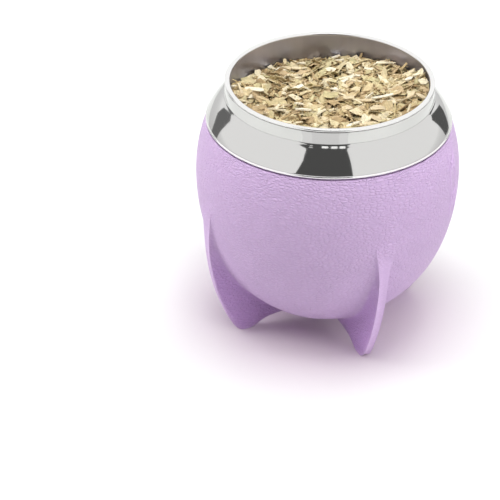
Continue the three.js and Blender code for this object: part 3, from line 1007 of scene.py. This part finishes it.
def lilac_leather():
    material, tree, shader = new_material("Lilac pebbled plastic")
    place = object_place(tree)
    flatter = add_node(tree, "ShaderNodeMapping", {"Vector": place, "Scale": (1.0, 1.0, 2.1)})
    pebbles = use_group(tree, "Pebble grain", pebble_grain,
                        {"Vector": flatter.outputs["Vector"], "Scale": 520.0})
    # Painted shade: the creases between the pebbles are coloured a little darker than the pebbles
    tint = mix_colours(tree, pebbles["Crease"], (0.576, 0.407, 0.655, 1.0),
                       (0.622, 0.449, 0.700, 1.0))
    # Painted shade: where marked, the fins' sides are coloured a deeper purple
    with_fin_shade = mix_colours(tree, attribute(tree, "deep"), tint, (0.90, 0.78, 0.97, 1.0),
                           blend_type="MULTIPLY")
    height = work_out(tree, "MULTIPLY", pebbles["Height"], attribute(tree, "grain"))
    feed(tree, shader, {"Base Color": with_fin_shade, "Roughness": marked(tree, place, 0.42, 0.52),
                        "Specular IOR Level": 0.18, "Normal": bump(tree, height, 0.9, 0.3)})
    return material


def polished_steel():
    """Mirror polish with a faint wave, and a painted highlight: paler colour on the bead at the
    lower edge.
    """
    material, tree, shader = new_material("Mirror polished steel")
    place = object_place(tree)
    bead_highlight = map_range(tree, height_of(tree, place), (BEAD_HIGHLIGHT_FROM_Z * MM, BEAD_HIGHLIGHT_TO_Z * MM))
    colour = mix_colours(tree, bead_highlight, (0.605, 0.60, 0.59, 1.0), (0.88, 0.86, 0.87, 1.0))
    feed(tree, shader, {"Base Color": colour, "Metallic": 1.0,
                        "Roughness": marked(tree, place, 0.045, 0.085),
                        "Normal": bump(tree, noise(tree, place, 35.0), 0.06, 0.3)})
    return material


def vessel_steel():
    """Satin steel inside with lines that run round the wall, polished on the rolled lip."""
    material, tree, shader = new_material("Satin steel with polished lip")
    place = object_place(tree)
    on_lip = attribute(tree, "polish")
    rough = add_node(tree, "ShaderNodeMix",
                     {"Factor": on_lip, "A": marked(tree, place, 0.32, 0.40), "B": 0.17},
                     data_type="FLOAT")
    # The satin wall is coloured darker than the lip and varies in soft upright streaks: painted
    # shade inside the cup, with some uneven polish in the streaks
    upright = add_node(tree, "ShaderNodeMapping", {"Vector": place, "Scale": (1.0, 1.0, 0.06)})
    satin_and_painted_shade = ramp(tree, noise(tree, upright.outputs["Vector"], 95.0, 3.0),
                 ((0.36, (0.40, 0.405, 0.53)), (0.66, (0.48, 0.485, 0.63))))
    lines = add_node(tree, "ShaderNodeTexNoise",
                     {"W": height_of(tree, place), "Scale": 9000.0, "Detail": 4.0},
                     noise_dimensions="1D")
    relief = work_out(tree, "MULTIPLY", lines.outputs["Fac"],
                      work_out(tree, "SUBTRACT", 1.0, on_lip))
    # Painted highlight: the polished lip is coloured paler than the satin wall
    colour = mix_colours(tree, on_lip, satin_and_painted_shade, (0.80, 0.795, 0.785, 1.0))
    feed(tree, shader, {"Base Color": colour, "Metallic": 1.0,
                        "Roughness": rough.outputs["Result"],
                        "Normal": bump(tree, relief, 0.15, 0.02)})
    return material


def leaf_material(name, tones, streak_depth, stretch, fineness):
    """Dry leaf: a tone for each piece, darker streaks along it and blotches."""
    material, tree, shader = new_material(name)
    stops = [(i / (len(tones) - 1), tone) for i, tone in enumerate(tones)]
    tone = ramp(tree, attribute(tree, "tone"), stops)
    grain = use_group(tree, "Leaf fibre", leaf_fibre, {"Stretch": stretch, "Fineness": fineness})
    streak = map_range(tree, grain["Streak"], (0.3, 0.65), (1.0 - streak_depth, 1.0))
    patch = map_range(tree, grain["Blotch"], (0.3, 0.7), (0.82, 1.08))
    tinted = add_node(tree, "ShaderNodeVectorMath",
                      {0: tone, "Scale": work_out(tree, "MULTIPLY", streak, patch)},
                      operation="SCALE")
    feed(tree, shader, {"Base Color": tinted.outputs["Vector"], "Roughness": 0.8,
                        "Specular IOR Level": 0.25,
                        "Normal": bump(tree, grain["Streak"], 0.5, 0.1)})
    return material


def packed_leaf_material():
    """Fine bits of leaf, packed close, that show between the loose pieces: dark brown leaf, painted
    darker still as painted shade in the gaps.
    """
    material, tree, shader = new_material("Packed dry leaf")
    bits = add_node(tree, "ShaderNodeTexVoronoi", {"Vector": object_place(tree), "Scale": 900.0},
                    feature="F1")
    parts = add_node(tree, "ShaderNodeSeparateColor", {"Color": bits.outputs["Color"]})
    tone = ramp(tree, parts.outputs["Red"],
                ((0.0, (0.05, 0.028, 0.010)), (1.0, (0.20, 0.125, 0.05))))
    feed(tree, shader, {"Base Color": tone, "Roughness": 0.9, "Specular IOR Level": 0.15,
                        "Normal": bump(tree, parts.outputs["Red"], 0.8, 0.3)})
    return material


def table_material():
    """White table with painted lilac bounce light and a little painted shade close to the cup."""
    material, tree, shader = new_material("White table")
    reach = add_node(tree, "ShaderNodeVectorMath", {0: object_place(tree)}, operation="LENGTH")
    fade = map_range(tree, reach.outputs["Value"], (20.0 * MM, 84.0 * MM),
                     interpolation_type="SMOOTHSTEP")
    # Painted bounce light and shade: near the cup the table is pinker and a little darker
    tint = mix_colours(tree, fade, (0.745, 0.665, 0.705, 1.0), (0.768, 0.780, 0.766, 1.0))
    feed(tree, shader, {"Base Color": tint, "Roughness": 0.6})
    return material


# Operators

class BuildBody(bpy.types.Operator):
    """Model the moulded body with its fins and its seam."""

    bl_idname = "mate_cup.build_body"
    bl_label = "Body and seam"

    def execute(self, context):
        sizes = context.scene.cup_sizes
        material = lilac_leather()
        settle(make_body(sizes), material, "body_shell", "body")
        settle(make_seam(sizes), material, "body_shell")
        return {"FINISHED"}


class BuildSteel(bpy.types.Operator):
    """Model the collar and the vessel with its rolled lip."""

    bl_idname = "mate_cup.build_steel"
    bl_label = "Collar and vessel"

    def execute(self, context):
        sizes = context.scene.cup_sizes
        settle(make_collar(sizes), polished_steel(), "polished_steel", "steel_collar")
        settle(make_vessel(sizes), vessel_steel(), "satin_steel", "steel_vessel")
        return {"FINISHED"}


# Loose leaf: piece, kind, (lengths, widths, thicknesses), (lifts, tilt, spread of the lie), and
# its finish: material, tones, depth of the streaks, stretch along and fineness across them
LOOSE_LEAF = (
    ("leaf_chips", "flake", ((2.0, 4.6), (1.3, 3.0), (0.15, 0.35)), ((-1.5, 0.5), 0.34, 1.2),
     ("Small leaf chips", SMALL_LEAF, 0.35, 0.5, 2.0)),
    ("leaf_flakes", "flake", ((4.0, 8.5), (2.6, 5.4), (0.2, 0.45)), ((-0.6, 1.0), 0.27, 1.0),
     ("Broad leaf flakes", BROAD_LEAF, 0.30, 0.35, 1.6)),
    ("leaf_shreds", "strip", ((2.5, 6.0), (0.6, 1.6), (0.2, 0.45)), ((-0.4, 1.2), 0.3, 1.0),
     ("Thin leaf shreds", SMALL_LEAF, 0.4, 0.5, 3.0)),
    ("stem_sticks", "strip", ((3.5, 8.5), (1.0, 2.1), (0.6, 1.0)), ((0.2, 1.5), 0.22, 0.8),
     ("Pale stem", PALE_STEM, 0.2, 0.25, 4.0)),
    ("leaf_crumbs", "flake", ((0.8, 1.9), (0.5, 1.1), (0.2, 0.5)), ((-0.6, 1.0), 0.5, 1.5),
     ("Leaf crumbs", SMALL_LEAF, 0.3, 1.0, 2.0)),
)


class BuildLeaf(bpy.types.Operator):
    """Pack the vessel with leaf and scatter chips, flakes, shreds, sticks and crumbs over it."""

    bl_idname = "mate_cup.build_leaf"
    bl_label = "Leaf"

    def execute(self, context):
        look = context.scene.leaf_look
        core = make_leaf_core(context.scene.cup_sizes)
        settle(core, packed_leaf_material(), "dry_leaf", "yerba")
        draw = np.random.default_rng(look.seed)
        forms = {"flake": (flake_shape, flake_faces()), "strip": (strip_shape, strip_faces())}
        for name, kind, sizes, lie, finish in LOOSE_LEAF:
            count = getattr(look, name.split("_")[1])
            piece = scatter(name, draw, count, *forms[kind], sizes, lie)
            settle(piece, leaf_material(*finish), "dry_leaf")
        return {"FINISHED"}


# Stage, in metres

SOFTBOX_DISTANCE = 1.1
SOFTBOX_SIDE = 0.6
SOFTBOX_AIM = (0.0, 0.0, 0.05)
# Softboxes: name, turn to the right of -Y, lift and power
SOFTBOXES = (
    ("Left softbox", -75.0, 45.0, 3.3),
    ("Low left softbox", -75.0, 18.0, 4.9),
    ("Front right softbox", 40.0, 45.0, 1.3),
    ("Right softbox", 105.0, 45.0, 2.1),
    ("Low right softbox", 85.0, 18.0, 4.0),
    ("Back softbox", 170.0, 50.0, 3.6),
    ("Top softbox", 0.0, 88.0, 5.6),
    ("Front softbox", 15.0, 65.0, 3.5),
)
FLOOR_SIDE = 6.0
TENT_RADIUS = 2.9
TENT_SHADE = 1.15
# The low screen stands round the cup, from the floor up and outwards
SCREEN_FOOT_RADIUS = 0.5
SCREEN_TOP_RADIUS = 1.6
SCREEN_HEIGHT = 0.25
SCREEN_MIDDLE_Z = 0.126
SCREEN_SHADES = (0.78, 1.14)

# Spots on the collar that the cards are set out from
FRONT_SPOT = (0.013, -0.040, 0.091)
LEFT_SPOT = (-0.032, -0.028, 0.091)
RIGHT_SPOT = (0.042, -0.002, 0.091)
# Cards that the steel mirrors: name, spot, corners as turn and lift, distance, shade
CARDS = (
    ("dark card front", FRONT_SPOT,
     ((-12.7, 5), (-11, 14), (-8.6, 27), (-7.3, 38.6), (-10, 53), (-12, 55.5), (-36, 58),
      (-44, 68), (58, 67), (54, 60), (47, 57.8), (44.9, 55), (43.2, 41), (42.2, 30), (41.5, 5)),
     1.0, 0.105),
    ("dark card left", LEFT_SPOT,
     ((-116.3, 10.4), (-105.4, 21.5), (-98.6, 19.6), (-97.4, 12), (-97.6, 4.4), (-97.2, -5),
      (-108, -9), (-111.5, -1), (-116.2, 2.9)), 0.55, 0.20),
    ("dark card right", RIGHT_SPOT,
     ((166.6, -0.8), (149.5, 15.6), (145.2, 14.5), (145.6, 7.5), (146.3, 1.3), (147.7, -6.7),
      (159.1, -10.7), (163.3, -7.6), (165.7, -4.9)), 0.4, 0.125),
    ("window one", FRONT_SPOT, ((9.5, 59.9), (8.7, 62), (19, 62), (19, 60.1)), 0.6, 1.6),
    ("window two", FRONT_SPOT, ((23.5, 59.9), (23.7, 62), (33.8, 61.5), (33, 59.4)), 0.6, 1.6),
    ("window three", FRONT_SPOT, ((36.2, 59), (37.4, 61.5), (46, 60.6), (44.6, 58.3)), 0.6, 1.6),
    ("window four", FRONT_SPOT, ((-8.5, 57.6), (-9.2, 59), (-4.8, 59.6), (-4.2, 58.2)), 0.6, 1.0),
    ("pale card low front", FRONT_SPOT, ((-14, -12), (-14, -40), (44, -40), (44, -12)), 0.13, 1.07),
    ("grey card low front", FRONT_SPOT, ((-2, -12), (-2, -42), (33, -42), (33, -12)), 0.12, 0.97),
    ("overhead card", FRONT_SPOT, ((-20, 69), (58, 69), (120, 78), (-80, 78)), 0.9, 2.2),
)


def add_camera(studio):
    camera = bpy.data.cameras.new("Camera")
    holder = add_object("Camera", camera)
    camera.sensor_width = 36.0
    camera.lens = studio.lens
    camera.clip_start = 0.01
    camera.clip_end = 50.0
    turn, pitch = studio.camera_turn, studio.camera_pitch
    forward = Vector((-math.sin(turn) * math.cos(pitch), math.cos(turn) * math.cos(pitch),
                      -math.sin(pitch)))
    level = forward.to_track_quat("-Z", "Y")
    holder.rotation_mode = "QUATERNION"
    roll = Matrix.Rotation(studio.camera_roll, 4, "Z").to_quaternion()
    holder.rotation_quaternion = level @ roll
    holder.location = studio.camera_place
    bpy.context.scene.camera = holder


def heading(turn, lift):
    """Unit vector at an angle to the right of -Y and above the floor, both in degrees."""
    turn, lift = math.radians(turn), math.radians(lift)
    return Vector((math.sin(turn) * math.cos(lift), -math.cos(turn) * math.cos(lift),
                   math.sin(lift)))


def add_softbox(name, turn, lift, power):
    """A square light that faces the cup and isn't mirrored in it."""
    light = bpy.data.lights.new(name, "AREA")
    light.shape = "RECTANGLE"
    light.size = SOFTBOX_SIDE
    light.size_y = SOFTBOX_SIDE
    light.energy = power
    holder = add_object(name, light)
    place = heading(turn, lift) * SOFTBOX_DISTANCE
    aim = Vector(SOFTBOX_AIM) - place
    holder.location = place
    holder.rotation_mode = "QUATERNION"
    holder.rotation_quaternion = aim.to_track_quat("-Z", "Y")
    holder.visible_camera = False
    holder.visible_glossy = False


def glossy_only(piece, shade):
    """Makes a staged piece of light or shade that only polished surfaces see."""
    material, tree, shader = new_material(piece.name)
    feed(tree, shader, {"Base Color": (0.0, 0.0, 0.0, 1.0), "Specular IOR Level": 0.0,
                        "Emission Color": (shade, shade, shade, 1.0), "Emission Strength": 1.0})
    piece.data.materials.append(material)
    piece.visible_camera = False
    piece.visible_diffuse = False
    piece.visible_shadow = False
    piece.visible_transmission = False


def fade_upwards(piece, low, high):
    """Makes a staged screen brighter from its lower edge to its upper edge."""
    tree = piece.active_material.node_tree
    heights = [vertex.co.z for vertex in piece.data.vertices]
    fade = map_range(tree, height_of(tree, object_place(tree)), (min(heights), max(heights)),
                     (low, high))
    feed(tree, tree.nodes["Principled BSDF"], {"Emission Color": fade})


def add_card(name, spot, corners, distance, shade):
    """A card whose corners lie in the given directions from a spot on the collar."""
    card = add_shape(name, bpy.ops.mesh.primitive_circle_add, vertices=len(corners),
                     fill_type="NGON")
    for vertex, corner in zip(card.data.vertices, corners):
        vertex.co = Vector(spot) + heading(*corner) * distance
    glossy_only(card, shade)


class BuildStage(bpy.types.Operator):
    """Set the floor, the surround, the lights, the tent, the screen, the cards and the camera."""

    bl_idname = "mate_cup.build_stage"
    bl_label = "Stage"

    def execute(self, context):
        studio = context.scene.studio_look
        floor = add_shape("floor", bpy.ops.mesh.primitive_plane_add, size=FLOOR_SIDE)
        floor.data.materials.append(table_material())
        world = bpy.data.worlds.new("White surround")
        context.scene.world = world
        world.use_nodes = True
        background = world.node_tree.nodes["Background"]
        background.inputs["Color"].default_value = (1.0, 1.0, 1.0, 1.0)
        background.inputs["Strength"].default_value = studio.surround
        for softbox in SOFTBOXES:
            add_softbox(*softbox)
        tent = add_shape("light tent", bpy.ops.mesh.primitive_uv_sphere_add, segments=32,
                         ring_count=16, radius=TENT_RADIUS)
        glossy_only(tent, TENT_SHADE)
        screen = add_shape("low screen", bpy.ops.mesh.primitive_cone_add, vertices=96,
                           radius1=SCREEN_FOOT_RADIUS, radius2=SCREEN_TOP_RADIUS,
                           depth=SCREEN_HEIGHT, end_fill_type="NOTHING",
                           location=(0, 0, SCREEN_MIDDLE_Z))
        glossy_only(screen, 1.0)
        fade_upwards(screen, *SCREEN_SHADES)
        for card in CARDS:
            add_card(*card)
        context.scene.view_settings.view_transform = "Standard"
        add_camera(studio)
        return {"FINISHED"}


class MateCupPanel(bpy.types.Panel):
    """Lists the sizes and the building steps."""

    bl_idname = "VIEW3D_PT_mate_cup"
    bl_label = "Mate cup"
    bl_space_type = "VIEW_3D"
    bl_region_type = "UI"
    bl_category = "Mate cup"

    def draw(self, context):
        for group in (context.scene.cup_sizes, context.scene.leaf_look,
                      context.scene.studio_look):
            box = self.layout.box()
            for name in group.__annotations__:
                box.prop(group, name)
        for operator in OPERATORS:
            self.layout.operator(operator.bl_idname)


OPERATORS = (BuildStage, BuildBody, BuildSteel, BuildLeaf)
CLASSES = (CupSizes, LeafLook, StudioLook, *OPERATORS, MateCupPanel)


def register():
    for item in CLASSES:
        bpy.utils.register_class(item)
    bpy.types.Scene.cup_sizes = bpy.props.PointerProperty(type=CupSizes)
    bpy.types.Scene.leaf_look = bpy.props.PointerProperty(type=LeafLook)
    bpy.types.Scene.studio_look = bpy.props.PointerProperty(type=StudioLook)


def unregister():
    del bpy.types.Scene.studio_look
    del bpy.types.Scene.leaf_look
    del bpy.types.Scene.cup_sizes
    for item in reversed(CLASSES):
        bpy.utils.unregister_class(item)


def main():
    register()
    bpy.ops.mate_cup.build_stage()
    bpy.ops.mate_cup.build_body()
    bpy.ops.mate_cup.build_steel()
    bpy.ops.mate_cup.build_leaf()


if __name__ == "__main__":
    main()
